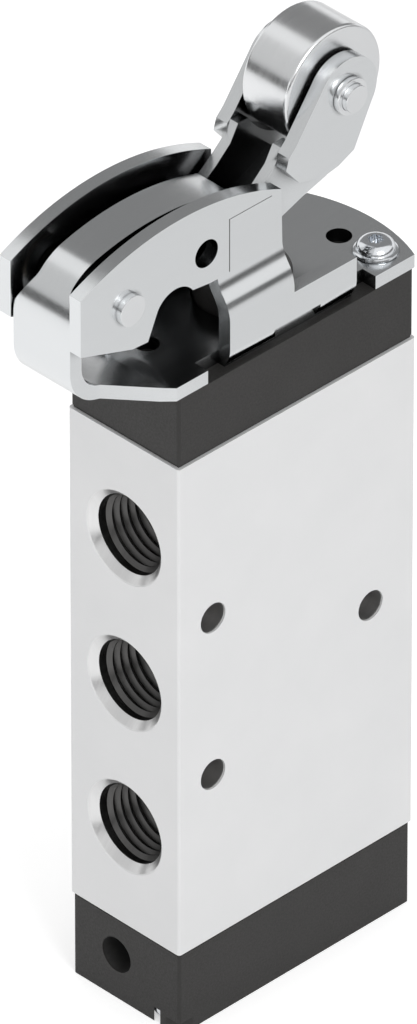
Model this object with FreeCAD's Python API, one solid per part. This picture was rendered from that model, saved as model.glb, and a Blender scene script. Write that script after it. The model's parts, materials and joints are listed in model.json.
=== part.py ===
import FreeCAD, Part
import math
import os

# Roller lever air valve: an upright metal block with threaded ports, plastic end caps,
# a stamped bracket on top, a roller lever and a sprung spool inside. Millimetres.
# X runs along the wide face, Y across the narrow one, Z up. Origin: centre of the underside.

# Block
BLOCK_LENGTH = 42.3
BLOCK_WIDTH = 20.0
BLOCK_HEIGHT = 76.3
BLOCK_EDGE = 0.45
PORT_RADIUS = 5.75
PORT_CHAMFER = 1.1
PORT_DEPTH = 12.0
PORT_PASSAGE_RADIUS = 3.6
PORT_PITCH = 22.75
SPOOL_BORE_RADIUS = 5.9
MOUNT_HOLE_RADIUS = 2.2
MOUNT_HOLE_EDGE = 6.1
MOUNT_HOLE_FAR_EDGE = 7.85
MOUNT_HOLE_PITCH = 24.6
SCREW_RADIUS = 1.25
SCREW_EDGE = 3.0
SCREW_SIDE = 4.3
SCREW_BITE = 8.0
HEAD_RADIUS = 2.6
HEAD_HEIGHT = 1.9
SINK_ROOM = 0.3

# End caps and gaskets
GASKET = 0.4
GASKET_INSET = 0.5
CAP_INSET = 0.25
BOTTOM_CAP_HEIGHT = 12.6
TOP_CAP_HEIGHT = 10.2
VENT_RADIUS = 2.6
VENT_SIDE = 11.8
VENT_DROP = 6.1
CORNER_NOTCH = 5.4
CORNER_NOTCH_HEIGHT = 1.8
SPRING_WELL_RADIUS = 5.2
SPRING_WELL_FLOOR = 2.2
BOSS_RADIUS = 6.4
BOSS_HEIGHT = 6.6
BOSS_CROWN = 1.6

# Stamped bracket
SHEET = 2.0
PLATE_OVERHANG = 2.0
PLATE_SIDE = 0.3
CHEEK_SIDE = 2.7
PIVOT_BACK = 6.1
PIVOT_RISE = 16.0
SPARE_HOLE_X = 7.6
SPARE_HOLE_RISE = 17.7
SPARE_HOLE_RADIUS = 2.0
NOSE_BACK = 14.2
NOSE_RADIUS = 9.0
NOSE_CENTRE_RISE = 13.1
NOSE_STRAIGHT = 4.5
TOE_RADIUS = 6.0
RAMP_ANGLE = 17.0
CROWN_RADIUS = 40.0
CROWN_START = 105.0
CROWN_END_X = 16.0
CROWN_WIDTH = 5.8
NOSE_GAP = 0.2
FLANGE_SIDE = 0.5
FLANGE_START = 9.6
FLANGE_END = 32.1
JOGGLE_END = 21.0
PLATE_HOLE_RADIUS = 1.7

# Lever
LEVER_GAP = 0.6
LEVER_WALL = 1.6
EYE_RADIUS = 3.6
FLOOR_THICKNESS = 1.8
FLOOR_DROP = 1.9
LEVER_ROOM = 0.2
FORK_SIDE = 3.46
FORK_WALL = 2.0
EAR_RADIUS = 5.2
AXLE_X = 33.3
AXLE_RISE = 29.3
ROLLER_RADIUS = 8.5
ROLLER_PLAY = 0.54
ROLLER_EDGE = 0.5
ROLLER_ROOM = 0.7
ROLLER_BUSH_PROUD = 0.3
JOGGLE_BAND = 3.3
AXLE_RADIUS = 1.9
COLLAR_RADIUS = 2.6
COLLAR_WIDTH = 0.9
AXLE_PROUD = 1.7
PIN_RADIUS = 2.2
PIN_PROUD = 0.9
RUNNING_FIT = 0.05
BUSH_WALL = 1.0

# Plunger, spool and spring
PLUNGER_RADIUS = 2.4
PLUNGER_BUSH_RADIUS = 3.9
WIPER_HEIGHT = 1.5
SPOOL_LAND_RADIUS = 5.6
SPOOL_WAIST_RADIUS = 3.2
SPOOL_BOTTOM = 3.6
SPOOL_TOP_GAP = 1.2
SEAL_COUNT = 6
SEAL_SECTION = 0.95
SEAL_RUNNING_GAP = 0.12
STROKE = 3.7
SPRING_WIRE = 0.55
SPRING_RADIUS = 3.9
SPRING_TURNS = 5

MID_X = BLOCK_LENGTH / 2
MID_Y = BLOCK_WIDTH / 2
BLOCK_BASE = BOTTOM_CAP_HEIGHT + GASKET
BLOCK_TOP = BLOCK_BASE + BLOCK_HEIGHT
CAP_TOP = BLOCK_TOP + GASKET + TOP_CAP_HEIGHT
PLATE_TOP = CAP_TOP + SHEET
PIVOT = (-PIVOT_BACK, CAP_TOP + PIVOT_RISE)
AXLE = (AXLE_X, CAP_TOP + AXLE_RISE)
FLOOR_Z = PIVOT[1] - FLOOR_DROP
PORTS_MID_Z = BLOCK_BASE + BLOCK_HEIGHT / 2
CHEEK_INNER = CHEEK_SIDE + SHEET
LEVER_SIDE = CHEEK_INNER + LEVER_GAP
LEVER_INNER = LEVER_SIDE + LEVER_WALL
ROLLER_WIDTH = BLOCK_WIDTH - 2 * (FORK_SIDE + FORK_WALL + ROLLER_PLAY)
LIP = 3.0
REACH = 60.0

V = FreeCAD.Vector
X_AXIS, Y_AXIS = V(1, 0, 0), V(0, 1, 0)


def save(name, shape):
    """Centres the finished piece on the origin in plan and writes its file."""
    placed = shape.copy()
    placed.translate(V(-MID_X, -MID_Y, 0))
    placed.exportStep(f"parts/{name}.step")
    print(name, "solids", len(placed.Solids), "valid", placed.isValid(), "volume", round(placed.Volume, 2))


def box(x0, x1, y0, y1, z0, z1):
    return Part.makeBox(x1 - x0, y1 - y0, z1 - z0, V(x0, y0, z0))


def rod_y(centre, radius, y0, y1):
    """A cylinder across the width, about a centre given as (x, z)."""
    return Part.makeCylinder(radius, y1 - y0, V(centre[0], y0, centre[1]), Y_AXIS)


def mirrored(shape):
    """The same piece on the far side of the middle plane."""
    return shape.mirror(V(0, MID_Y, 0), Y_AXIS)


def side_plate(edges, y0, y1):
    """A flat plate of the outline made by edges in XZ, from y0 to y1."""
    face = Part.Face(Part.Wire(Part.__sortEdges__(edges)))
    face.translate(V(0, y0, 0))
    return face.extrude(V(0, y1 - y0, 0))


def point(x, z):
    return V(x, 0, z)


def polyline(points):
    """Straight edges through the points, closed."""
    ring = points + points[:1]
    return [Part.LineSegment(point(*a), point(*b)).toShape() for a, b in zip(ring, ring[1:])]


def round_vertical_edges(solid, radius):
    upright = [e for e in solid.Edges if abs(e.tangentAt(e.FirstParameter).z) > 0.99]
    return solid.makeFillet(radius, upright)


def make_port(x_face, z, inward):
    """Threaded port bore with its countersunk mouth and the passage to the spool bore."""
    mouth = V(x_face, MID_Y, z)
    axis = V(inward, 0, 0)
    bore = Part.makeCylinder(PORT_RADIUS, PORT_DEPTH, mouth, axis)
    sink = Part.makeCone(PORT_RADIUS + PORT_CHAMFER, PORT_RADIUS, PORT_CHAMFER, mouth, axis)
    passage = Part.makeCylinder(PORT_PASSAGE_RADIUS, MID_X, mouth, axis)
    return bore.fuse([sink, passage])


def mount_holes():
    """Centres (x, z) of the three cross holes."""
    near = [(MOUNT_HOLE_EDGE, PORTS_MID_Z + s * MOUNT_HOLE_PITCH / 2) for s in (-1, 1)]
    return near + [(BLOCK_LENGTH - MOUNT_HOLE_FAR_EDGE, PORTS_MID_Z)]


def screw_places(end):
    """Two screws on one diagonal of the plan; the top and bottom caps use opposite diagonals."""
    near_x = SCREW_EDGE if end == "bottom" else BLOCK_LENGTH - SCREW_EDGE
    return [(near_x, SCREW_SIDE), (BLOCK_LENGTH - near_x, BLOCK_WIDTH - SCREW_SIDE)]


def screw_holes(end, z0, z1):
    return [Part.makeCylinder(SCREW_RADIUS, z1 - z0, V(x, y, z0)) for x, y in screw_places(end)]


def make_housing():
    body = box(0, BLOCK_LENGTH, 0, BLOCK_WIDTH, BLOCK_BASE, BLOCK_TOP)
    body = round_vertical_edges(body, BLOCK_EDGE)
    cuts = [make_port(0, PORTS_MID_Z + k * PORT_PITCH, 1) for k in (-1, 0, 1)]
    cuts += [make_port(BLOCK_LENGTH, PORTS_MID_Z + k * PORT_PITCH / 2, -1) for k in (-1, 1)]
    cuts += [rod_y(c, MOUNT_HOLE_RADIUS, -1, BLOCK_WIDTH + 1) for c in mount_holes()]
    cuts.append(Part.makeCylinder(SPOOL_BORE_RADIUS, BLOCK_HEIGHT, V(MID_X, MID_Y, BLOCK_BASE)))
    cuts += screw_holes("bottom", BLOCK_BASE, BLOCK_BASE + SCREW_BITE)
    cuts += screw_holes("top", BLOCK_TOP - SCREW_BITE, BLOCK_TOP)
    return body.cut(cuts)


def make_gasket(end, z):
    inset = GASKET_INSET
    sheet = box(inset, BLOCK_LENGTH - inset, inset, BLOCK_WIDTH - inset, z, z + GASKET)
    well = Part.makeCylinder(SPOOL_BORE_RADIUS, GASKET, V(MID_X, MID_Y, z))
    return sheet.cut([well] + screw_holes(end, z, z + GASKET))


def corner_relief(x_sign, y_sign):
    """The relief under one corner, with the rounded screw boss left standing in it."""
    notch = box(0, CORNER_NOTCH, 0, CORNER_NOTCH, 0, CORNER_NOTCH_HEIGHT)
    boss_radius = CORNER_NOTCH * 0.8
    notch = notch.cut(Part.makeCylinder(boss_radius, CORNER_NOTCH_HEIGHT, V(boss_radius, boss_radius, 0)))
    if x_sign > 0:
        notch = notch.mirror(V(MID_X, 0, 0), X_AXIS)
    if y_sign > 0:
        notch = notch.mirror(V(0, MID_Y, 0), Y_AXIS)
    return notch


def make_bottom_cap():
    inset = CAP_INSET
    body = box(inset, BLOCK_LENGTH - inset, inset, BLOCK_WIDTH - inset, 0, BOTTOM_CAP_HEIGHT)
    body = round_vertical_edges(body, BLOCK_EDGE)
    well_height = BOTTOM_CAP_HEIGHT - SPRING_WELL_FLOOR
    well = Part.makeCylinder(SPRING_WELL_RADIUS, well_height, V(MID_X, MID_Y, SPRING_WELL_FLOOR))
    vent = Part.makeCylinder(VENT_RADIUS, MID_X, V(0, VENT_SIDE, BLOCK_BASE - VENT_DROP), X_AXIS)
    sinks = [Part.makeCylinder(HEAD_RADIUS + 0.2, HEAD_HEIGHT + SINK_ROOM, V(x, y, 0))
             for x, y in screw_places("bottom")]
    reliefs = [corner_relief(-1, -1), corner_relief(1, 1)]
    return body.cut([well, vent] + sinks + reliefs + screw_holes("bottom", 0, BOTTOM_CAP_HEIGHT))


def make_top_cap():
    inset = CAP_INSET
    low = BLOCK_TOP + GASKET
    body = box(inset, BLOCK_LENGTH - inset, inset, BLOCK_WIDTH - inset, low, CAP_TOP)
    body = round_vertical_edges(body, BLOCK_EDGE)
    boss = Part.makeCylinder(BOSS_RADIUS, BOSS_HEIGHT, V(MID_X, MID_Y, CAP_TOP))
    crown = [e for e in boss.Edges if e.BoundBox.ZMin > CAP_TOP + BOSS_HEIGHT / 2 and e.Length > BOSS_RADIUS]
    boss = boss.makeFillet(BOSS_CROWN, crown)
    body = body.fuse(boss)
    guide_height = TOP_CAP_HEIGHT + BOSS_HEIGHT
    guide = Part.makeCylinder(PLUNGER_BUSH_RADIUS, guide_height, V(MID_X, MID_Y, low))
    return body.cut([guide] + screw_holes("top", low, CAP_TOP)).removeSplitter()


def make_plunger_bush():
    """Guide bush that fills the cap's bore below the wiper."""
    low = BLOCK_TOP + GASKET
    height = TOP_CAP_HEIGHT + BOSS_HEIGHT - WIPER_HEIGHT
    return tube(PLUNGER_BUSH_RADIUS, PLUNGER_RADIUS + RUNNING_FIT, low, low + height)


def make_wiper():
    top = CAP_TOP + BOSS_HEIGHT
    return tube(PLUNGER_BUSH_RADIUS, PLUNGER_RADIUS + RUNNING_FIT, top - WIPER_HEIGHT, top)


def tube(outer, inner, z0, z1):
    """An upright ring about the spool axis."""
    foot = V(MID_X, MID_Y, z0)
    return Part.makeCylinder(outer, z1 - z0, foot).cut(Part.makeCylinder(inner, z1 - z0, foot))


def on_circle(centre, radius, degrees):
    turn = math.radians(degrees)
    return (centre[0] + radius * math.cos(turn), centre[1] + radius * math.sin(turn))


def arc(centre, radius, start, end):
    """An arc edge in XZ, from one angle to the other in degrees."""
    stops = [on_circle(centre, radius, a) for a in (start, (start + end) / 2, end)]
    return Part.Arc(*[point(*s) for s in stops]).toShape()


def strap_path(offset):
    """Edges and end points of one skin of the curled strap, offset inwards from the outer skin."""
    nose_centre = (NOSE_RADIUS - NOSE_BACK, CAP_TOP + NOSE_CENTRE_RISE)
    toe_centre = (TOE_RADIUS - NOSE_BACK, nose_centre[1] - NOSE_STRAIGHT)
    crown_centre = on_circle(nose_centre, NOSE_RADIUS - CROWN_RADIUS, CROWN_START)
    crown_end = math.degrees(math.acos((CROWN_END_X - crown_centre[0]) / CROWN_RADIUS))
    toe_end = 270 - RAMP_ANGLE
    toe, nose, crown = TOE_RADIUS - offset, NOSE_RADIUS - offset, CROWN_RADIUS - offset
    ramp_top = on_circle(toe_centre, toe, toe_end)
    base_z = CAP_TOP + offset
    ramp_foot = (ramp_top[0] + (ramp_top[1] - base_z) / math.tan(math.radians(RAMP_ANGLE)), base_z)
    start = (MID_X / 2, base_z)
    nose_left = on_circle(nose_centre, nose, 180)
    toe_left = on_circle(toe_centre, toe, 180)
    edges = [
        Part.LineSegment(point(*start), point(*ramp_foot)).toShape(),
        Part.LineSegment(point(*ramp_foot), point(*ramp_top)).toShape(),
        arc(toe_centre, toe, toe_end, 180),
        Part.LineSegment(point(*toe_left), point(*nose_left)).toShape(),
        arc(nose_centre, nose, 180, CROWN_START),
        arc(crown_centre, crown, CROWN_START, crown_end),
    ]
    return edges, start, on_circle(crown_centre, crown, crown_end)


def make_strap():
    """Sheet that runs off the plate, ramps up, curls round the nose and ends over the lever."""
    outer, outer_start, outer_end = strap_path(0)
    inner, inner_start, inner_end = strap_path(SHEET)
    ends = [
        Part.LineSegment(point(*outer_start), point(*inner_start)).toShape(),
        Part.LineSegment(point(*outer_end), point(*inner_end)).toShape(),
    ]
    sheet = side_plate(outer + inner + ends, 0, BLOCK_WIDTH)
    nose_side = CHEEK_INNER + NOSE_GAP
    crown_side = MID_Y - CROWN_WIDTH / 2
    shoulder = CAP_TOP + NOSE_CENTRE_RISE + 2
    taper_start = -TOE_RADIUS * 1.5
    plan = [
        (-NOSE_BACK - 1, nose_side), (taper_start, nose_side), (0, PLATE_SIDE),
        (MID_X, PLATE_SIDE), (MID_X, BLOCK_WIDTH - PLATE_SIDE), (0, BLOCK_WIDTH - PLATE_SIDE),
        (taper_start, BLOCK_WIDTH - nose_side), (-NOSE_BACK - 1, BLOCK_WIDTH - nose_side),
    ]
    low = Part.Face(Part.makePolygon([V(x, y, CAP_TOP - 1) for x, y in plan + plan[:1]]))
    low = low.extrude(V(0, 0, shoulder - CAP_TOP + 1)).common(box(-REACH, 5, 0, BLOCK_WIDTH, 0, shoulder))
    front = [
        (nose_side, shoulder), (BLOCK_WIDTH - nose_side, shoulder),
        (BLOCK_WIDTH - crown_side, shoulder + 4), (BLOCK_WIDTH - crown_side, CAP_TOP + REACH),
        (crown_side, CAP_TOP + REACH), (crown_side, shoulder + 4),
    ]
    high = Part.Face(Part.makePolygon([V(-REACH / 2, y, z) for y, z in front + front[:1]]))
    high = high.extrude(V(REACH, 0, 0))
    return sheet.common(low.fuse(high))


def make_plate():
    """Flat base of the bracket, with a bowed far end and clearance holes."""
    side, end = PLATE_SIDE, BLOCK_LENGTH
    bow = Part.Arc(
        V(end, side, CAP_TOP), V(end + PLATE_OVERHANG, MID_Y, CAP_TOP), V(end, BLOCK_WIDTH - side, CAP_TOP)
    ).toShape()
    corners = [(end, BLOCK_WIDTH - side), (0, BLOCK_WIDTH - side), (0, side), (end, side)]
    lines = [
        Part.LineSegment(V(*a, CAP_TOP), V(*b, CAP_TOP)).toShape() for a, b in zip(corners, corners[1:])
    ]
    plate = Part.Face(Part.Wire([bow] + lines)).extrude(V(0, 0, SHEET))
    return plate


def plate_cuts():
    """Openings of the base plate: boss, spare holes, screws and the notches beside the flanges."""
    foot = CAP_TOP - 1
    height = SHEET + 1.5
    cuts = [Part.makeCylinder(BOSS_RADIUS + 0.3, height, V(MID_X, MID_Y, foot))]
    cuts += [
        Part.makeCylinder(PLATE_HOLE_RADIUS, height, V(x, MID_Y, foot)) for x in (4.2, BLOCK_LENGTH - 3.9)
    ]
    cuts += [Part.makeCylinder(SCREW_RADIUS + 0.1, height, V(x, y, foot))
             for x, y in screw_places("top")]
    notch_depth = PLATE_SIDE + 2.4
    for x0, x1 in ((5.5, FLANGE_START), (FLANGE_END, FLANGE_END + 3.2)):
        cuts += [box(x0, x1, y, y + notch_depth, foot, foot + height)
                 for y in (0, BLOCK_WIDTH - notch_depth)]
    cuts.append(box(FLANGE_START, FLANGE_END, 0, FLANGE_SIDE + SHEET / 2, foot, foot + height))
    cuts.append(box(FLANGE_START, FLANGE_END, BLOCK_WIDTH - FLANGE_SIDE - SHEET / 2, BLOCK_WIDTH,
                    foot, foot + height))
    return cuts


def make_flange():
    """Side flange of the near side: up from the plate, then joggled in to meet the cheek."""
    joggle_low, joggle_high = CAP_TOP + 8.8, CAP_TOP + 12.0
    outline = [
        (CHEEK_SIDE, joggle_high + 1), (CHEEK_SIDE, joggle_high), (FLANGE_SIDE, joggle_low),
        (FLANGE_SIDE, CAP_TOP + 1.3), (FLANGE_SIDE + 1.3, CAP_TOP), (MID_Y - BOSS_RADIUS - 0.3, CAP_TOP),
        (MID_Y - BOSS_RADIUS - 0.3, PLATE_TOP), (FLANGE_SIDE + SHEET + 0.4, PLATE_TOP),
        (FLANGE_SIDE + SHEET, PLATE_TOP + 0.4), (FLANGE_SIDE + SHEET, joggle_low - 0.4),
        (CHEEK_INNER, joggle_high - 0.4), (CHEEK_INNER, joggle_high + 1),
    ]
    face = Part.Face(Part.makePolygon([V(FLANGE_START, y, z) for y, z in outline + outline[:1]]))
    flange = face.extrude(V(FLANGE_END - FLANGE_START, 0, 0))
    lowered = box(JOGGLE_END, REACH, 0, MID_Y, CAP_TOP + 6.4, CAP_TOP + REACH)
    window = box(MID_X - 3.6, MID_X + 4.5, 0, FLANGE_SIDE + SHEET + 0.8, CAP_TOP, CAP_TOP + 2.3)
    return flange.cut([lowered, window])


def make_cheek():
    """Upright ear of the near side, bowed on top and cut away behind the pivot pin."""
    top_front = (-NOSE_BACK - 0.25, CAP_TOP + 21.0)
    top_mid = (3.2, CAP_TOP + 25.1)
    top_back = (JOGGLE_END - 0.2, CAP_TOP + 21.2)
    bow = Part.Arc(point(*top_front), point(*top_mid), point(*top_back)).toShape()
    scoop = Part.Arc(
        point(5.2, CAP_TOP + 13.3), point(1.8, CAP_TOP + 14.9), point(-1.2, CAP_TOP + 12.6)
    ).toShape()
    back = [top_back, (JOGGLE_END, CAP_TOP + 12.6), (8.3, CAP_TOP + 12.9), (5.2, CAP_TOP + 13.3)]
    front = [(-1.2, CAP_TOP + 12.6), (-2.7, CAP_TOP + 9.2), (-5.4, CAP_TOP + 9.4),
             (-NOSE_BACK - 0.25, CAP_TOP + 12.5), top_front]
    edges = [bow, scoop]
    for run in (back, front):
        edges += [Part.LineSegment(point(*a), point(*b)).toShape() for a, b in zip(run, run[1:])]
    cheek = side_plate(edges, CHEEK_SIDE, CHEEK_INNER)
    spare = (SPARE_HOLE_X, CAP_TOP + SPARE_HOLE_RISE)
    return cheek.cut([
        rod_y(PIVOT, PIN_RADIUS, 0, MID_Y), rod_y(spare, SPARE_HOLE_RADIUS, 0, MID_Y)
    ])


def make_bracket():
    flange, cheek = make_flange(), make_cheek()
    plate = make_plate().fuse(make_strap()).cut(plate_cuts())
    whole = plate.fuse([flange, cheek, mirrored(flange), mirrored(cheek)])
    clear = Part.makeCylinder(BOSS_RADIUS + 0.3, SHEET + 4, V(MID_X, MID_Y, CAP_TOP - 1))
    return whole.cut(clear).removeSplitter()


def neck_outline():
    """Side view of the lever's inner walls, from the pivot eye to the fork."""
    low = FLOOR_Z
    eye = PIVOT
    return [
        (eye[0], eye[1] + EYE_RADIUS), (eye[0] + 10, eye[1] + EYE_RADIUS + 0.6),
        (17.0, low + 4.4), (19.5, low + 6.2), (22.0, low + 8.4), (23.4, low + 10.8),
        (29.0, low + 10.8), (34.4, low + 6.2), (31.4, low + 2.8), (27.0, low + 1.6),
        (22.5, low), (eye[0] + 6, low), (eye[0], eye[1] - EYE_RADIUS),
    ]


def fork_outline():
    """Side view of the outer ears below the axle, without the round top."""
    ax, az = AXLE
    return [
        on_circle(AXLE, EAR_RADIUS, 150), on_circle(AXLE, EAR_RADIUS, -25),
        (ax + 3.8, az - 3.9), (ax + 1.2, az - 9.0), (ax - 1.6, az - 10.2),
        (ax - 4.2, az - 10.6), (ax - 8.6, az - 9.4), (ax - 10.9, az - 6.6), (ax - 10.4, az - 4.9),
        (ax - 9.2, az - 3.7),
    ]


def make_lever_side():
    """Near half of the lever: pivot eye, inner wall, joggle and outer ear."""
    keep_out = rod_y(AXLE, ROLLER_RADIUS + ROLLER_ROOM, 0, BLOCK_WIDTH)
    band = rod_y(AXLE, ROLLER_RADIUS + ROLLER_ROOM + JOGGLE_BAND, 0, BLOCK_WIDTH)
    neck = side_plate(polyline(neck_outline()), LEVER_SIDE, LEVER_INNER).cut(keep_out)
    neck = neck.fuse(rod_y(PIVOT, EYE_RADIUS, LEVER_SIDE, LEVER_INNER))
    ear = side_plate(polyline(fork_outline()), FORK_SIDE, FORK_SIDE + FORK_WALL)
    ear = ear.fuse(rod_y(AXLE, EAR_RADIUS, FORK_SIDE, FORK_SIDE + FORK_WALL))
    step = side_plate(polyline(fork_outline()), FORK_SIDE, LEVER_INNER).common(band).cut(keep_out)
    step = step.common(side_plate(polyline(neck_outline()), FORK_SIDE, LEVER_INNER))
    step = step.common(box(JOGGLE_END + 1.2, REACH, 0, MID_Y, 0, CAP_TOP + REACH))
    side = neck.fuse([ear, step])
    return side.cut([rod_y(PIVOT, PIN_RADIUS + BUSH_WALL + RUNNING_FIT, 0, MID_Y),
                     rod_y(AXLE, AXLE_RADIUS, 0, MID_Y)])


def make_lever():
    """Two sides joined by a floor that curves up in front of the roller."""
    turn, bend_radius = 45, 14.0
    bend_centre = (20.0, FLOOR_Z + bend_radius)
    outer_end = on_circle(bend_centre, bend_radius, turn - 90)
    inner_end = on_circle(bend_centre, bend_radius - FLOOR_THICKNESS, turn - 90)
    start_x = 0.5
    edges = [
        Part.LineSegment(point(start_x, FLOOR_Z), point(bend_centre[0], FLOOR_Z)).toShape(),
        arc(bend_centre, bend_radius, -90, turn - 90),
        Part.LineSegment(point(*outer_end), point(*inner_end)).toShape(),
        arc(bend_centre, bend_radius - FLOOR_THICKNESS, turn - 90, -90),
        Part.LineSegment(point(bend_centre[0], FLOOR_Z + FLOOR_THICKNESS),
                         point(start_x, FLOOR_Z + FLOOR_THICKNESS)).toShape(),
        Part.LineSegment(point(start_x, FLOOR_Z + FLOOR_THICKNESS), point(start_x, FLOOR_Z)).toShape(),
    ]
    floor = side_plate(edges, LEVER_SIDE, BLOCK_WIDTH - LEVER_SIDE)
    near = make_lever_side()
    return near.fuse([floor, mirrored(near)]).removeSplitter()


def make_pivot_pin():
    return rod_y(PIVOT, PIN_RADIUS, CHEEK_SIDE - PIN_PROUD, BLOCK_WIDTH - CHEEK_SIDE + PIN_PROUD)


def make_pivot_bush():
    """Bush through the lever's eyes; it turns on the pin."""
    outer = rod_y(PIVOT, PIN_RADIUS + BUSH_WALL + RUNNING_FIT, LEVER_SIDE, BLOCK_WIDTH - LEVER_SIDE)
    return outer.cut(rod_y(PIVOT, PIN_RADIUS + RUNNING_FIT, 0, BLOCK_WIDTH))


def make_axle():
    end = FORK_SIDE - AXLE_PROUD
    return rod_y(AXLE, AXLE_RADIUS, end, BLOCK_WIDTH - end)


def make_axle_collar():
    collar = rod_y(AXLE, COLLAR_RADIUS, FORK_SIDE - COLLAR_WIDTH, FORK_SIDE)
    return collar.cut(rod_y(AXLE, AXLE_RADIUS, 0, MID_Y))


def make_roller():
    side = MID_Y - ROLLER_WIDTH / 2
    tyre = rod_y(AXLE, ROLLER_RADIUS, side, BLOCK_WIDTH - side)
    rims = [e for e in tyre.Edges if e.Length > ROLLER_RADIUS * 3 and abs(e.BoundBox.YLength) < 0.1]
    tyre = tyre.makeFillet(ROLLER_EDGE, rims)
    return tyre.cut(rod_y(AXLE, AXLE_RADIUS + BUSH_WALL + RUNNING_FIT, 0, BLOCK_WIDTH))


def make_roller_bush():
    side = MID_Y - ROLLER_WIDTH / 2 - ROLLER_BUSH_PROUD
    outer = rod_y(AXLE, AXLE_RADIUS + BUSH_WALL + RUNNING_FIT, side, BLOCK_WIDTH - side)
    return outer.cut(rod_y(AXLE, AXLE_RADIUS + RUNNING_FIT, 0, BLOCK_WIDTH))


def make_plunger():
    """Domed push rod between the lever's floor and the spool."""
    low = BLOCK_TOP - SPOOL_TOP_GAP - STROKE
    top = FLOOR_Z - LEVER_ROOM
    rod = Part.makeCylinder(PLUNGER_RADIUS, top - PLUNGER_RADIUS - low, V(MID_X, MID_Y, low))
    return rod.fuse(Part.makeSphere(PLUNGER_RADIUS, V(MID_X, MID_Y, top - PLUNGER_RADIUS))).removeSplitter()


def seal_heights():
    """Middle heights of the spool's seals, evenly spaced along its lands."""
    low = BLOCK_BASE + SPOOL_BOTTOM + LIP
    high = BLOCK_TOP - SPOOL_TOP_GAP - STROKE - LIP
    return [low + (high - low) * k / (SEAL_COUNT - 1) for k in range(SEAL_COUNT)]


def make_spool():
    """Turned rod with one land for each seal, grooved to hold it."""
    low = BLOCK_BASE + SPOOL_BOTTOM
    high = BLOCK_TOP - SPOOL_TOP_GAP - STROKE
    spool = Part.makeCylinder(SPOOL_WAIST_RADIUS, high - low, V(MID_X, MID_Y, low))
    lands = [
        Part.makeCylinder(SPOOL_LAND_RADIUS - 0.2, 2 * LIP, V(MID_X, MID_Y, z - LIP)) for z in seal_heights()
    ]
    root = seal_outer() - 2 * SEAL_SECTION
    half = SEAL_SECTION + 0.1
    grooves = [tube(SPOOL_BORE_RADIUS, root - 0.02, z - half, z + half) for z in seal_heights()]
    return spool.fuse(lands).removeSplitter().cut(grooves)


def seal_outer():
    return SPOOL_BORE_RADIUS - SEAL_RUNNING_GAP


def make_seal(z):
    return Part.makeTorus(seal_outer() - SEAL_SECTION, SEAL_SECTION, V(MID_X, MID_Y, z))


def make_spring():
    """Helical return spring between the cap's well and the spool's lower end."""
    low = SPRING_WELL_FLOOR + SPRING_WIRE + 0.05
    high = BLOCK_BASE + SPOOL_BOTTOM - SPRING_WIRE - 0.05
    pitch = (high - low) / SPRING_TURNS
    helix = Part.makeHelix(pitch, high - low, SPRING_RADIUS)
    start = Part.Circle(V(SPRING_RADIUS, 0, 0), Y_AXIS, SPRING_WIRE).toShape()
    spring = Part.Wire(helix).makePipeShell([Part.Wire(start)], True, True)
    spring.translate(V(MID_X, MID_Y, low))
    return spring


def make_screw(x, y, seat, direction):
    """Round-headed screw with a six-lobed socket; direction is the way its shank points."""
    shank_length = SCREW_BITE - 1 + (TOP_CAP_HEIGHT if direction < 0 else BOTTOM_CAP_HEIGHT - HEAD_HEIGHT)
    if direction < 0:
        shank_length += SHEET + GASKET
    head = Part.makeCylinder(HEAD_RADIUS, HEAD_HEIGHT)
    rim = [e for e in head.Edges if e.BoundBox.ZMin > HEAD_HEIGHT / 2 and e.Length > HEAD_RADIUS]
    head = head.makeFillet(HEAD_HEIGHT * 0.75, rim)
    lobes = [Part.makeCylinder(0.35, 1.2, V(0.7 * math.cos(k * math.pi / 3),
                                            0.7 * math.sin(k * math.pi / 3), HEAD_HEIGHT - 1.2))
             for k in range(6)]
    socket = Part.makeCylinder(0.75, 1.2, V(0, 0, HEAD_HEIGHT - 1.2)).fuse(lobes)
    screw = head.cut(socket)
    screw = screw.fuse(Part.makeCylinder(SCREW_RADIUS - 0.05, shank_length, V(0, 0, -shank_length)))
    if direction > 0:
        screw.rotate(V(0, 0, 0), X_AXIS, 180)
    screw.translate(V(x, y, seat))
    return screw


def make_screws(end, seat, direction):
    return Part.makeCompound([make_screw(x, y, seat, direction) for x, y in screw_places(end)])


def main():
    os.makedirs("parts", exist_ok=True)
    save("housing", make_housing())
    save("bottom_gasket", make_gasket("bottom", BOTTOM_CAP_HEIGHT))
    save("top_gasket", make_gasket("top", BLOCK_TOP))
    save("bottom_cap", make_bottom_cap())
    save("top_cap", make_top_cap())
    save("plunger_bush", make_plunger_bush())
    save("plunger_wiper", make_wiper())
    save("lever_bracket", make_bracket())
    save("bracket_screws", make_screws("top", PLATE_TOP, -1))
    save("bottom_screws", make_screws("bottom", HEAD_HEIGHT + SINK_ROOM, 1))
    save("pivot_pin", make_pivot_pin())
    save("pivot_bush", make_pivot_bush())
    save("roller_lever", make_lever())
    save("roller_axle", make_axle())
    collar = make_axle_collar()
    save("axle_collar_near", collar)
    save("axle_collar_far", mirrored(collar))
    save("roller", make_roller())
    save("roller_bush", make_roller_bush())
    save("plunger", make_plunger())
    save("spool", make_spool())
    for number, z in enumerate(seal_heights(), 1):
        save(f"spool_seal_{number}", make_seal(z))
    save("return_spring", make_spring())


main()
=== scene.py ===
import json
import math

import bmesh
import bpy
from mathutils import Matrix, Vector

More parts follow.
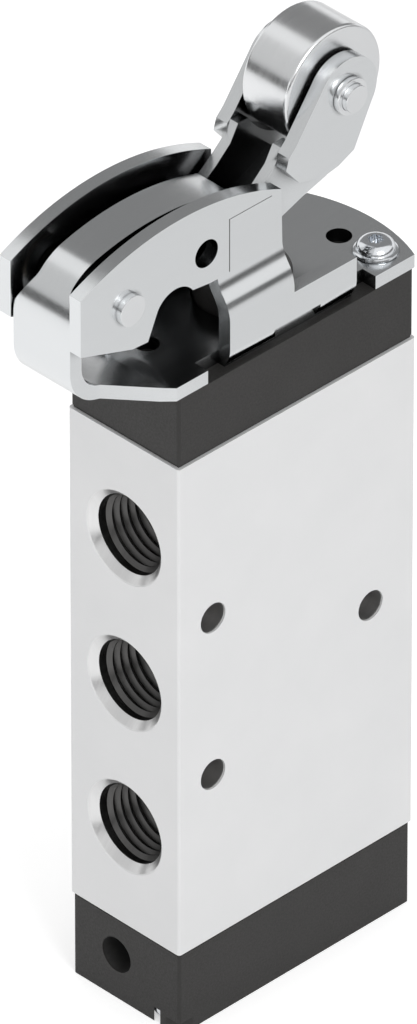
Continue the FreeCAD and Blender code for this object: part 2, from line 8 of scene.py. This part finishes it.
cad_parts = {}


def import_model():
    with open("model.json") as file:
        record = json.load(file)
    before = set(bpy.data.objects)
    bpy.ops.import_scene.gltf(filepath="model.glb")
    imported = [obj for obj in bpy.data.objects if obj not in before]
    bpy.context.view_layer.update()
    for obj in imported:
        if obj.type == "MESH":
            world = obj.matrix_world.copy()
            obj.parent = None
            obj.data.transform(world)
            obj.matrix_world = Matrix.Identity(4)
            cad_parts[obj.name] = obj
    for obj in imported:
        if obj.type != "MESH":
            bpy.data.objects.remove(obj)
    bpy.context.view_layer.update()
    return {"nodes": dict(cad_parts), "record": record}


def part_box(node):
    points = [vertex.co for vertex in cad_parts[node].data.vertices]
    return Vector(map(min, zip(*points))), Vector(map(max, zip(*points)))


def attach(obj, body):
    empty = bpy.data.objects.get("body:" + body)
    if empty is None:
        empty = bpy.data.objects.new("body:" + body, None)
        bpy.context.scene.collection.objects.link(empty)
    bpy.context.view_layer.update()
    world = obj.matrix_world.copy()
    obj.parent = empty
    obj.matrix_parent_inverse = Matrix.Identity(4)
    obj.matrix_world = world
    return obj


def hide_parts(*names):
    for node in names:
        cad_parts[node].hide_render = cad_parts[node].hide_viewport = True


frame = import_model()

MM = 0.001
RECORD = frame["record"]
NODE_BODY = {node: body for body, nodes in RECORD["behaviour"]["bodies"].items() for node in nodes}
NODE_SLOT = {row["node"]: row["material_slot"] for row in RECORD["subparts"]}

# Camera, fitted to the corners of the block in the 417 x 1024 photograph
PHOTO_HEIGHT = 1024
SENSOR = 36.0
TURN, TILT = math.radians(44.535), math.radians(35.35)
FOCAL_PIXELS = 18773.0
PIXELS_PER_MM = 7.788
RIGHT_OFFSET, UP_OFFSET = 3.764, -57.091
BLOCK_CORNER = (-21.15, -10.0, 13.0)
CLIP_START, CLIP_END = 0.05, 20

# Soft studio, with places and sizes in metres and the rest as strengths
SKY_LIGHT = 0.6
LAMP_AIM = (0, 0, 0.07)
CARD_DISTANCE = 2.2
CARD_STEPS = 24
FLOOR_SIZE = 3.0
FLOOR_SEEN = 0.5

# What metal sees of the floor, graded along a direction on the ground
FLOOR_DIRECTION = (-0.7, 0.7, 0)
FLOOR_REACH = (-0.16, 0.1)
FLOOR_GLOW = (0.12, 0.45)

# Machined metals: dark and light tone, lowest and highest roughness
MACHINED = {
    "roller_steel": ((0.74, 0.75, 0.76), (0.8, 0.81, 0.82), 0.2, 0.26),
    "screw_steel": ((0.7, 0.72, 0.75), (0.8, 0.82, 0.84), 0.12, 0.2),
    "spool_aluminium": ((0.6, 0.61, 0.63), (0.75, 0.76, 0.78), 0.25, 0.35),
    "spring_steel": ((0.4, 0.41, 0.43), (0.55, 0.56, 0.58), 0.25, 0.4),
    # the near-black tone of the port bores is painted shade of their depth, not the metal's own colour
    "bore_painted_shade": ((0.09, 0.088, 0.086), (0.13, 0.128, 0.126), 0.3, 0.38),
    "drilled_bore": ((0.66, 0.655, 0.65), (0.74, 0.735, 0.73), 0.34, 0.42),
    "turned_mouth": ((0.72, 0.72, 0.72), (0.8, 0.8, 0.8), 0.28, 0.34),
}

# The part of a noise value, and of how open a surface is, that the materials spread out. The openness sets
# the shade painted into the sheet's hollows
NOISE_MIDDLE = (0.3, 0.7)
PAINTED_SHADE_RANGE = (0.25, 0.8)

# Nodes that get broken edges, and the rolled bends of the sheet ones.
# From here on sizes are in millimetres and angles in degrees.
BROKEN = ("housing", "bottom_cap", "top_cap", "lever_bracket", "roller_lever", "pivot_pin", "roller_axle",
          "axle_collar_near", "axle_collar_far")
ROLLED = {"lever_bracket": 1.5, "roller_lever": 0.9}
EDGE_BREAK = 0.14
BREAK_ANGLE = 32
MERGE_DISTANCE = 0.002
FLAT_ANGLE = 0.6
SHORTEST_BEND = 2.3
BEND_ANGLES = (12, 62)
CREASE_ANGLE = 28
PIECE_CREASE_ANGLE = 40

# Ports and holes. The thread's root and crest are half widths, as shares of its pitch
THREAD_PITCH = 1.337
THREAD_DEPTH = 0.62
THREAD_START = 1.7
THREAD_ROOT, THREAD_CREST = 0.47, 0.06
THREAD_SUNK = 0.01
THREAD_TURNS = 7
THREAD_STEPS = 64
THREAD_RUN_IN = 0.25
THREAD_LEAST = 0.05
SKIN_INNER, SKIN_OUTER = 0.03, 0.005
SKIN_STEPS = 72
HOLE_LEAD = 0.3
MOUTH_LEAD = 0.12
PORT_SINK = 1.1
PORT_SKIN_LEAD = PORT_SINK + 0.05
PORT_SKIN_LENGTH = 10.75
VENT_MOUTH = (-20.7, 1.8, 6.9)
VENT_RADIUS = 2.6
VENT_DEPTH = 15

# Stamped line on the near cheek, an upright strip and a level one, near black as painted shade of the groove
CHEEK_FACE = -7.3
LINE_PROUD, LINE_SUNK = 0.015, 0.1
LINE_LEFT, LINE_RIGHT = -9.55, -2.0
LINE_LOW, LINE_HIGH = 112.9, 120.9
UPRIGHT_WIDTH, LEVEL_WIDTH = 0.12, 0.08

# Bracket screws, with the flange as radius and height above the seat
HEAD_RADIUS, HEAD_HEIGHT = 2.6, 1.9
FLANGE = ((1.6, 0.0), (2.9, 0.0), (2.98, 0.15), (2.9, 0.4), (2.3, 0.75), (1.6, 0.75))
FLANGE_STEPS = 48


class Nodes:
    """The node tree of a material or world, with short calls to add and link nodes."""

    def __init__(self, owner):
        owner.use_nodes = True
        self.owner = owner
        self.tree = owner.node_tree
        self.shader = self.tree.nodes.get("Principled BSDF")

    def add(self, kind, **values):
        node = self.tree.nodes.new(kind)
        for key, value in values.items():
            if hasattr(node, key):
                setattr(node, key, value)
            else:
                node.inputs[key.replace("_", " ")].default_value = value
        return node

    def link(self, source, target):
        self.tree.links.new(source, target)

    def set(self, **values):
        for key, value in values.items():
            self.shader.inputs[key.replace("_", " ")].default_value = value

    def surface(self, source):
        self.link(source, self.tree.nodes["Material Output"].inputs["Surface"])

    def noise(self, scale, detail, stretch=(1, 1, 1)):
        """A noise value in the piece's own coordinates."""
        place = self.add("ShaderNodeTexCoord")
        mapping = self.add("ShaderNodeMapping", Scale=stretch)
        texture = self.add("ShaderNodeTexNoise", Scale=scale, Detail=detail)
        self.link(place.outputs["Object"], mapping.inputs["Vector"])
        self.link(mapping.outputs["Vector"], texture.inputs["Vector"])
        return texture.outputs["Fac"]

    def map_range(self, source, from_range, to_range):
        ranged = self.add("ShaderNodeMapRange")
        for key, value in zip(("From Min", "From Max", "To Min", "To Max"), (*from_range, *to_range)):
            ranged.inputs[key].default_value = value
        self.link(source, ranged.inputs["Value"])
        return ranged.outputs["Result"]

    def roughness(self, source, low, high):
        """Sets the roughness between low and high by a noise value's middle range."""
        self.link(self.map_range(source, NOISE_MIDDLE, (low, high)), self.shader.inputs["Roughness"])

    def tint(self, source, dark, light):
        """Blends two colours by a noise value."""
        mix = self.add("ShaderNodeMix", data_type="RGBA")
        colours = [s for s in mix.inputs if s.type == "RGBA"]
        colours[0].default_value = (*dark, 1)
        colours[1].default_value = (*light, 1)
        self.link(source, mix.inputs["Factor"])
        result = [s for s in mix.outputs if s.type == "RGBA"][0]
        self.link(result, self.shader.inputs["Base Color"])

    def paint_shade_in_hollows(self, reach, least):
        """Paints shade into hollows: multiplies the base colour by how open the surface is within the reach.
        """
        colour = self.shader.inputs["Base Color"]
        source = colour.links[0].from_socket
        openness = self.add("ShaderNodeAmbientOcclusion", Distance=reach)
        shade = self.map_range(openness.outputs["AO"], PAINTED_SHADE_RANGE, (least, 1))
        scaled = self.add("ShaderNodeVectorMath", operation="SCALE")
        self.link(source, scaled.inputs[0])
        self.link(shade, scaled.inputs["Scale"])
        self.link(scaled.outputs[0], colour)

    def bump(self, source, strength, distance):
        bump = self.add("ShaderNodeBump", Strength=strength, Distance=distance)
        self.link(source, bump.inputs["Height"])
        self.link(bump.outputs["Normal"], self.shader.inputs["Normal"])


def material_nodes(name):
    return Nodes(bpy.data.materials.new(name))


def block_aluminium():
    nodes = material_nodes("block_aluminium")
    nodes.set(Metallic=0.25)
    cloud = nodes.noise(scale=90, detail=4)
    grain = nodes.noise(scale=5200, detail=2)
    nodes.tint(cloud, dark=(0.78, 0.785, 0.79), light=(0.85, 0.85, 0.855))
    nodes.roughness(grain, low=0.42, high=0.6)
    nodes.bump(grain, strength=0.16, distance=0.00002)
    return nodes.owner


def cap_plastic():
    nodes = material_nodes("cap_plastic")
    nodes.set(Specular_IOR_Level=0.35)
    cloud = nodes.noise(scale=140, detail=4)
    grain = nodes.noise(scale=3600, detail=3)
    nodes.tint(cloud, dark=(0.022, 0.021, 0.02), light=(0.032, 0.0305, 0.0295))
    nodes.roughness(grain, low=0.42, high=0.62)
    nodes.bump(grain, strength=0.3, distance=0.00003)
    return nodes.owner


def sheet_steel():
    """Bright plated sheet with faint rolling marks along its length, and shade painted into its hollows."""
    nodes = material_nodes("sheet_steel")
    nodes.set(Metallic=1.0)
    rolling = nodes.noise(scale=2400, detail=3, stretch=(0.04, 1, 1))
    nodes.tint(rolling, dark=(0.7, 0.715, 0.725), light=(0.73, 0.745, 0.755))
    # painted shade: the base colour darkens in the hollows and on the hemmed-in insides of the sheet
    nodes.paint_shade_in_hollows(reach=0.014, least=0.1)
    nodes.roughness(rolling, low=0.17, high=0.21)
    nodes.bump(rolling, strength=0.012, distance=0.00001)
    return nodes.owner


def machined_metal(name, dark, light, low, high):
    """Metal with fine rings round the Y axis, as on the roller and its axle."""
    nodes = material_nodes(name)
    nodes.set(Metallic=1.0)
    rings = nodes.noise(scale=3000, detail=2, stretch=(0.05, 1, 0.05))
    nodes.tint(rings, dark, light)
    nodes.roughness(rings, low, high)
    nodes.bump(rings, strength=0.015, distance=0.00001)
    return nodes.owner


def seal_rubber():
    nodes = material_nodes("seal_rubber")
    dust = nodes.noise(scale=900, detail=3)
    nodes.tint(dust, dark=(0.018, 0.018, 0.018), light=(0.035, 0.034, 0.033))
    nodes.roughness(dust, low=0.55, high=0.75)
    return nodes.owner


def bush_bronze():
    nodes = material_nodes("bush_bronze")
    nodes.set(Metallic=1.0)
    pores = nodes.noise(scale=2600, detail=3)
    nodes.tint(pores, dark=(0.34, 0.29, 0.22), light=(0.44, 0.38, 0.3))
    nodes.roughness(pores, low=0.35, high=0.5)
    nodes.bump(pores, strength=0.2, distance=0.00002)
    return nodes.owner


def make_materials():
    """One material for each slot of the record, and those of the ports and holes."""
    materials = {name: machined_metal(name, *look) for name, look in MACHINED.items()}
    materials["block_aluminium"] = block_aluminium()
    materials["cap_plastic"] = cap_plastic()
    materials["bracket_steel"] = sheet_steel()
    materials["seal_rubber"] = seal_rubber()
    materials["bush_bronze"] = bush_bronze()
    return materials


def add_to_scene(name, data):
    thing = bpy.data.objects.new(name, data)
    bpy.context.scene.collection.objects.link(thing)
    return thing


def smooth_by_angle(mesh, degrees):
    """Smooth shading with the creases sharper than the angle kept."""
    bm = bmesh.new()
    bm.from_mesh(mesh)
    for face in bm.faces:
        face.smooth = True
    for edge in bm.edges:
        edge.smooth = len(edge.link_faces) == 2 and edge.calc_face_angle(0) < math.radians(degrees)
    bm.to_mesh(mesh)
    bm.free()


def mark_bends(bm):
    """Weights the edges of a sheet's bends, which the rolled bevel takes."""
    weight = bm.edges.layers.float.new("bevel_weight_edge")
    low, high = BEND_ANGLES
    for edge in bm.edges:
        if len(edge.link_faces) == 2 and edge.calc_length() > SHORTEST_BEND * MM:
            edge[weight] = float(low < math.degrees(edge.calc_face_angle(0)) < high)


def clean_copy(node):
    """A copy of a CAD node's mesh with its flat faces whole again."""
    mesh = frame["nodes"][node].data.copy()
    if "custom_normal" in mesh.attributes:
        mesh.attributes.remove(mesh.attributes["custom_normal"])
    bm = bmesh.new()
    bm.from_mesh(mesh)
    bmesh.ops.remove_doubles(bm, verts=bm.verts, dist=MERGE_DISTANCE * MM)
    bmesh.ops.dissolve_limit(bm, angle_limit=math.radians(FLAT_ANGLE), verts=bm.verts, edges=bm.edges)
    if node in ROLLED:
        mark_bends(bm)
    bm.to_mesh(mesh)
    bm.free()
    return mesh


def add_bevel(piece, name, width, segments, **settings):
    bevel = piece.modifiers.new(name, "BEVEL")
    bevel.width = width * MM
    bevel.segments = segments
    for key, value in settings.items():
        setattr(bevel, key, value)


def apply_modifiers(piece):
    bpy.context.view_layer.update()
    evaluated = piece.evaluated_get(bpy.context.evaluated_depsgraph_get())
    finished = bpy.data.meshes.new_from_object(evaluated)
    piece.modifiers.clear()
    piece.data = finished


def broken_edges(node, material):
    """A copy of a CAD node with its sharp edges broken, as on the real stamped or moulded piece."""
    mesh = clean_copy(node)
    mesh.materials.clear()
    mesh.materials.append(material)
    piece = add_to_scene(node + "_finished", mesh)
    if node in ROLLED:
        add_bevel(piece, "rolled_bends", ROLLED[node], 5, limit_method="WEIGHT", use_clamp_overlap=False)
    add_bevel(piece, "edge_break", EDGE_BREAK, 2, limit_method="ANGLE", angle_limit=math.radians(BREAK_ANGLE),
              use_clamp_overlap=True)
    apply_modifiers(piece)
    smooth_by_angle(piece.data, CREASE_ANGLE)
    weighted = piece.modifiers.new("flat_faces_lead", "WEIGHTED_NORMAL")
    weighted.keep_sharp = True
    weighted.weight = 100
    apply_modifiers(piece)
    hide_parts(node)
    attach(piece, NODE_BODY[node])


def dress_nodes(materials):
    """Gives each node its material, and the visible rigid ones broken edges."""
    for name, node in frame["nodes"].items():
        slot = NODE_SLOT[name]
        node.data.materials.clear()
        node.data.materials.append(materials[slot])
        if name in BROKEN:
            broken_edges(name, materials[slot])


def new_piece(name, bm, material, body):
    """Makes a closed form into a piece that rides on a body."""
    bmesh.ops.recalc_face_normals(bm, faces=bm.faces)
    mesh = bpy.data.meshes.new(name)
    bm.to_mesh(mesh)
    bm.free()
    mesh.materials.append(material)
    smooth_by_angle(mesh, PIECE_CREASE_ANGLE)
    piece = add_to_scene(name, mesh)
    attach(piece, body)


def join_rings(bm, rings):
    """Skins each ring of vertices to the next, where a ring is a closed outline."""
    for ring, following in zip(rings, rings[1:]):
        for i in range(len(ring)):
            j = (i + 1) % len(ring)
            bm.faces.new((ring[i], ring[j], following[j], following[i]))


def revolved(mouth, axis, profile, steps):
    """A closed profile of (radius, depth) points in millimetres, turned round the axis from the mouth."""
    axis = Vector(axis)
    side = axis.orthogonal().normalized()
    up = axis.cross(side)
    bm = bmesh.new()
    rings = []
    for k in range(steps):
        turn = 2 * math.pi * k / steps
        ray = side * math.cos(turn) + up * math.sin(turn)
        rings.append([
            bm.verts.new(Vector(mouth) + (axis * depth + ray * radius) * MM)
            for radius, depth in profile
        ])
    join_rings(bm, rings + rings[:1])
    return bm


def bore_skin(name, mouth, inward, radii, length, material):
    """Thin machined skin that lines a round or conical hole, from the first radius to the second."""
    start, end = radii
    profile = (
        (start - SKIN_INNER, 0),
        (start - SKIN_OUTER, 0),
        (end - SKIN_OUTER, length),
        (end - SKIN_INNER, length),
    )
    new_piece(name, revolved(mouth, inward, profile, SKIN_STEPS), material, "valve_body")


def inside_face(mount, lead=0.0):
    """The point on a mount's axis that lies the lead inside the block's face."""
    axis = Vector(mount["axis"])
    centre = Vector(mount["pos_m"])
    reach = abs(axis.dot(Vector(BLOCK_CORNER))) - lead
    return centre + axis * (reach * MM - centre.dot(axis))


def port_thread(mount, material):
    """The helical ridge of a port's internal thread, inside the plain bore of the block."""
    inward = -Vector(mount["axis"])
    side, up = Vector((0, 1, 0)), Vector((0, 0, 1))
    mouth = inside_face(mount)
    radius = mount["dims"]["r_mm"]
    root, crest = THREAD_PITCH * THREAD_ROOT, THREAD_PITCH * THREAD_CREST
    count = THREAD_STEPS * THREAD_TURNS
    bm = bmesh.new()
    rings = []
    for k in range(count + 1):
        turn = 2 * math.pi * k / THREAD_STEPS
        ray = side * math.cos(turn) + up * math.sin(turn)
        along = THREAD_START + THREAD_PITCH * k / THREAD_STEPS
        ridge = THREAD_DEPTH * min(1, min(k, count - k) / (THREAD_RUN_IN * THREAD_STEPS) + THREAD_LEAST)
        section = ((-root, -THREAD_SUNK), (-crest, ridge), (crest, ridge), (root, -THREAD_SUNK))
        rings.append([
            bm.verts.new(mouth + (inward * (along + shift) + ray * (radius - rise)) * MM)
            for shift, rise in section
        ])
    join_rings(bm, rings)
    bm.faces.new(rings[0])
    bm.faces.new(reversed(rings[-1]))
    new_piece(mount["name"] + "_thread", bm, material, "valve_body")


def line_port(mount, materials):
    """Thread, turned mouth and dark skin of one port. The thread and the skin are near black as painted shade
    of the deep bore.
    """
    inward = -Vector(mount["axis"])
    radius = mount["dims"]["r_mm"]
    sink = PORT_SINK - MOUTH_LEAD
    port_thread(mount, materials["bore_painted_shade"])
    bore_skin(mount["name"] + "_mouth", inside_face(mount, MOUTH_LEAD), inward, (radius + sink, radius), sink,
              materials["turned_mouth"])
    bore_skin(mount["name"] + "_skin", inside_face(mount, PORT_SKIN_LEAD), inward, (radius, radius),
              PORT_SKIN_LENGTH, materials["bore_painted_shade"])


def line_cross_hole(mount, materials):
    """Skin of one hole that goes through the block's width."""
    inward = -Vector(mount["axis"])
    radius = mount["dims"]["r_mm"]
    length = -2 * (BLOCK_CORNER[1] + HOLE_LEAD)
    bore_skin(mount["name"] + "_skin", inside_face(mount, HOLE_LEAD), inward, (radius, radius), length,
              materials["drilled_bore"])


def line_holes(materials):
    """Lines the ports, the cross holes and the vent."""
    for mount in RECORD["mounts"]:
        if mount["kind"] == "threaded_hole":
            line_port(mount, materials)
        elif mount["kind"] == "bore":
            line_cross_hole(mount, materials)
    bore_skin("vent_skin", Vector(VENT_MOUTH) * MM, (1, 0, 0), (VENT_RADIUS, VENT_RADIUS), VENT_DEPTH,
              materials["seal_rubber"])


def stamped_line(material):
    """Fine stamped line on the near cheek, as two thin strips sunk into its face, black as painted shade in
    the groove.
    """
    front, back = CHEEK_FACE - LINE_PROUD, CHEEK_FACE + LINE_SUNK
    bend = LINE_LEFT + UPRIGHT_WIDTH
    strips = (
        ((LINE_LEFT, front, LINE_LOW), (bend, back, LINE_HIGH)),
        ((bend, front, LINE_HIGH - LEVEL_WIDTH), (LINE_RIGHT, back, LINE_HIGH)),
    )
    bm = bmesh.new()
    for low, high in strips:
        low, high = Vector(low) * MM, Vector(high) * MM
        size = Matrix.Diagonal((*(high - low), 1))
        bmesh.ops.create_cube(bm, size=1, matrix=Matrix.Translation((low + high) / 2) @ size)
    new_piece("stamped_line", bm, material, "valve_body")


def screw_rims(material):
    """Low flange round the head of each bracket screw, at opposite corners of the screws' box."""
    low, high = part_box("bracket_screws")
    inset = HEAD_RADIUS * MM
    seat = high[2] - HEAD_HEIGHT * MM
    centres = ((high[0] - inset, low[1] + inset, seat), (low[0] + inset, high[1] - inset, seat))
    for index, centre in enumerate(centres):
        rim = revolved(centre, (0, 0, 1), FLANGE, FLANGE_STEPS)
        new_piece("screw_rim_%d" % index, rim, material, "valve_body")


def camera():
    """Places the camera by the fitted turn, tilt and offsets, with no shift."""
    cos_turn, sin_turn = math.cos(TURN), math.sin(TURN)
    cos_tilt, sin_tilt = math.cos(TILT), math.sin(TILT)
    right = Vector((cos_turn, -sin_turn, 0))
    up = Vector((sin_turn * sin_tilt, cos_turn * sin_tilt, cos_tilt))
    ahead = Vector((sin_turn * cos_tilt, cos_turn * cos_tilt, -sin_tilt))
    distance = FOCAL_PIXELS / PIXELS_PER_MM
    place = Vector(BLOCK_CORNER) + right * RIGHT_OFFSET - up * UP_OFFSET - ahead * distance
    data = bpy.data.cameras.new("camera")
    data.sensor_width = SENSOR
    data.sensor_fit = "AUTO"
    data.lens = FOCAL_PIXELS * SENSOR / PHOTO_HEIGHT
    data.clip_start = CLIP_START
    data.clip_end = CLIP_END
    seen_from = add_to_scene("camera", data)
    basis = Matrix((right, up, -ahead)).transposed().to_4x4()
    seen_from.matrix_world = Matrix.Translation(place * MM) @ basis
    bpy.context.scene.camera = seen_from


def area_light(name, place, size, power):
    data = bpy.data.lights.new(name, "AREA")
    data.shape = "SQUARE"
    data.size = size
    data.energy = power
    lamp = add_to_scene(name, data)
    lamp.location = place
    aim = Vector(LAMP_AIM) - Vector(place)
    lamp.rotation_euler = aim.to_track_quat("-Z", "Y").to_euler()


def reflection_card(name, azimuths, elevations, level):
    """A curved card that only reflections see. Azimuth is in degrees from +X towards +Y."""
    bm = bmesh.new()
    grid = []
    for i in range(CARD_STEPS + 1):
        row = []
        for j in range(CARD_STEPS + 1):
            azimuth = math.radians(azimuths[0] + (azimuths[1] - azimuths[0]) * i / CARD_STEPS)
            elevation = math.radians(elevations[0] + (elevations[1] - elevations[0]) * j / CARD_STEPS)
            flat = math.cos(elevation)
            ray = Vector((math.cos(azimuth) * flat, math.sin(azimuth) * flat, math.sin(elevation)))
            row.append(bm.verts.new(ray * CARD_DISTANCE))
        grid.append(row)
    for row, following in zip(grid, grid[1:]):
        for j in range(CARD_STEPS):
            bm.faces.new((row[j], following[j], following[j + 1], row[j + 1]))
    mesh = bpy.data.meshes.new(name)
    bm.to_mesh(mesh)
    bm.free()
    nodes = material_nodes(name)
    nodes.surface(nodes.add("ShaderNodeEmission", Strength=level).outputs[0])
    mesh.materials.append(nodes.owner)
    card = add_to_scene(name, mesh)
    card.visible_camera = False
    card.visible_diffuse = False
    card.visible_shadow = False
    card.visible_transmission = False


def floor():
    """Pale floor. The camera sees it white with its shadow, and metal sees it paler towards the back left."""
    half = FLOOR_SIZE / 2
    mesh = bpy.data.meshes.new("floor")
    outline = [(-half, -half, 0), (half, -half, 0), (half, half, 0), (-half, half, 0)]
    mesh.from_pydata(outline, [], [(0, 1, 2, 3)])
    nodes = material_nodes("floor")
    nodes.set(Base_Color=(0.88, 0.88, 0.88, 1), Roughness=0.9)
    place = nodes.add("ShaderNodeTexCoord")
    along = nodes.add("ShaderNodeVectorMath", operation="DOT_PRODUCT")
    along.inputs[1].default_value = FLOOR_DIRECTION
    nodes.link(place.outputs["Object"], along.inputs[0])
    graded = nodes.map_range(along.outputs["Value"], FLOOR_REACH, FLOOR_GLOW)
    rays = nodes.add("ShaderNodeLightPath")
    surface = nodes.shader.outputs[0]
    for ray, strength in (("Is Glossy Ray", graded), ("Is Camera Ray", None)):
        glow = nodes.add("ShaderNodeEmission", Strength=FLOOR_SEEN)
        if strength:
            nodes.link(strength, glow.inputs["Strength"])
        both = nodes.add("ShaderNodeAddShader")
        pick = nodes.add("ShaderNodeMixShader")
        nodes.link(nodes.shader.outputs[0], both.inputs[0])
        nodes.link(glow.outputs[0], both.inputs[1])
        nodes.link(rays.outputs[ray], pick.inputs[0])
        nodes.link(surface, pick.inputs[1])
        nodes.link(both.outputs[0], pick.inputs[2])
        surface = pick.outputs[0]
    nodes.surface(surface)
    mesh.materials.append(nodes.owner)
    ground = add_to_scene("floor", mesh)


def world():
    """White to the camera and in reflections, softer as light on the object."""
    nodes = Nodes(bpy.data.worlds.new("studio"))
    rays = nodes.add("ShaderNodeLightPath")
    seen = rays.outputs["Is Camera Ray"]
    for ray in ("Is Glossy Ray", "Is Transmission Ray"):
        either = nodes.add("ShaderNodeMath", operation="MAXIMUM")
        nodes.link(seen, either.inputs[0])
        nodes.link(rays.outputs[ray], either.inputs[1])
        seen = either.outputs[0]
    back = nodes.tree.nodes["Background"]
    back.inputs["Color"].default_value = (1, 1, 1, 1)
    nodes.link(nodes.map_range(seen, (0, 1), (SKY_LIGHT, 1)), back.inputs["Strength"])
    bpy.context.scene.world = nodes.owner


def studio():
    world()
    floor()
    area_light("key", place=(-0.25, -1.05, 0.7), size=0.6, power=5.2)
    area_light("fill", place=(-1.0, 0.0, 0.15), size=0.5, power=0.8)
    reflection_card("back_card", azimuths=(-20, 87), elevations=(16, 90), level=0.27)
    reflection_card("left_card", azimuths=(121, 212), elevations=(13, 80), level=0.68)
    reflection_card("horizon_card", azimuths=(100, 340), elevations=(-3, 13), level=0.12)
    bpy.context.scene.view_settings.view_transform = "Standard"


def main():
    camera()
    materials = make_materials()
    dress_nodes(materials)
    line_holes(materials)
    # the black rubber on the stamped line is painted shade of the groove
    stamped_line(materials["seal_rubber"])
    screw_rims(materials["screw_steel"])
    studio()


main()
